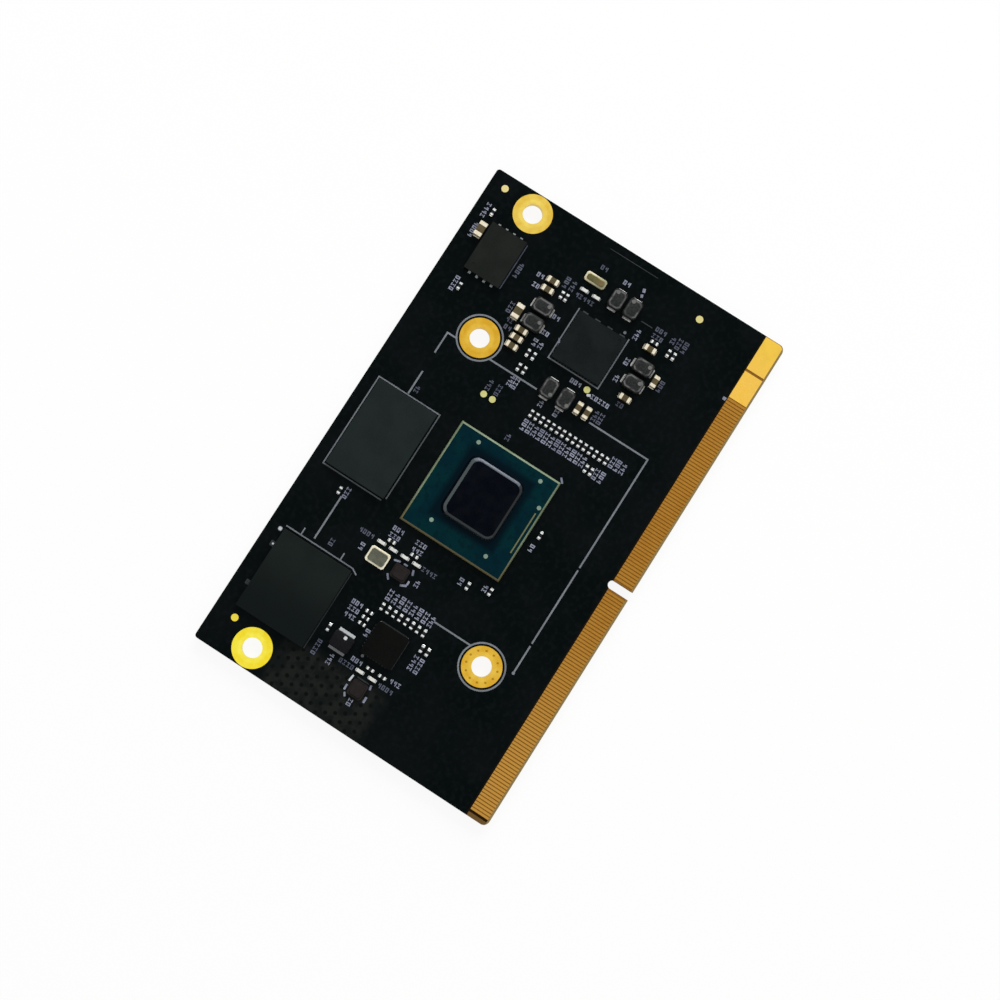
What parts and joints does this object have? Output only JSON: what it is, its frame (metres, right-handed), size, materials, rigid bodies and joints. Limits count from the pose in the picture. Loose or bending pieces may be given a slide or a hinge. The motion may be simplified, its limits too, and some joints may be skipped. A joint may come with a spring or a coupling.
{
  "type": "processor module board",
  "caption": "Card-edge processor module: dark circuit board with gold edge contacts, four plated holes, capped processor, memory, storage and power parts.",
  "frame": {"origin": "under the middle of the board, on the plane of the underside capacitors that it rests on", "axes": "+X along the contact edge, towards the two wide power pads; -Y towards the contact edge; +Z out of the component side"},
  "size_m": [0.082, 0.05, 0.0033],
  "materials": {
    "laminate": "dark solder mask over glass-epoxy laminate",
    "contact_gold": "hard gold on copper",
    "pad_gold": "flat immersion gold",
    "package_substrate": "dark green package substrate",
    "mould_compound": "fine matte epoxy moulding",
    "brown_mould": "brownish epoxy moulding",
    "coil_compound": "pressed iron powder with resin",
    "solder": "bright tin solder",
    "capacitor_brown": "sintered brown ceramic",
    "capacitor_pale": "sintered pale ceramic",
    "resistor_black": "black glazed resistor top on ceramic",
    "crystal_ceramic": "gold-rimmed ceramic base",
    "crystal_lid": "satin gold-washed lid",
    "crystal_dark_ceramic": "dark ceramic base",
    "crystal_dark_lid": "dark nickel lid",
    "printed_ink": "pale screen-printed ink"
  },
  "bodies": {
    "root": {"circuit_board": "laminate", "contacts_top_left": "contact_gold", "contacts_top_right": "contact_gold", "contacts_under_left": "contact_gold", "contacts_under_right": "contact_gold", "power_pads_top": "pad_gold", "power_pads_under": "pad_gold", "barrel_left_edge": "pad_gold", "barrel_right_edge": "pad_gold", "barrel_inner_left": "pad_gold", "barrel_inner_right": "pad_gold", "processor_substrate": "package_substrate", "processor_marks": "pad_gold", "processor_cap": "mould_compound", "processor_balls": "solder", "memory_chip": "mould_compound", "memory_balls": "solder", "storage_chip": "mould_compound", "storage_balls": "solder", "flash_chip": "mould_compound", "flash_leads": "solder", "power_chip": "mould_compound", "power_leads_and_pad": "solder", "network_chip": "brown_mould", "network_leads_and_pad": "solder", "coil_1": "coil_compound", "coil_2": "coil_compound", "coil_3": "coil_compound", "coil_4": "coil_compound", "coil_5": "coil_compound", "coil_6": "coil_compound", "coil_7": "coil_compound", "coil_8": "coil_compound", "coil_terminals": "solder", "network_coil": "brown_mould", "network_coil_terminals": "solder", "processor_crystal_base": "crystal_ceramic", "processor_crystal_lid": "crystal_lid", "sound_crystal_base": "crystal_dark_ceramic", "sound_crystal_lid": "crystal_dark_lid", "network_crystal_base": "crystal_dark_ceramic", "network_crystal_lid": "crystal_dark_lid", "slow_crystal_base": "crystal_ceramic", "slow_crystal_lid": "crystal_lid", "bulk_capacitor_bodies": "capacitor_brown", "bulk_capacitor_ends": "solder", "load_capacitor_bodies": "capacitor_pale", "load_capacitor_ends": "solder", "right_bank_bodies": "resistor_black", "right_bank_ends": "solder", "left_bank_bodies": "resistor_black", "left_bank_ends": "solder", "scattered_chip_bodies": "resistor_black", "scattered_chip_ends": "solder", "underside_capacitor_bodies": "capacitor_brown", "underside_capacitor_ends": "solder", "test_pads": "pad_gold", "alignment_dots": "pad_gold", "printed_legend": "printed_ink"}
  },
  "joints": []
}
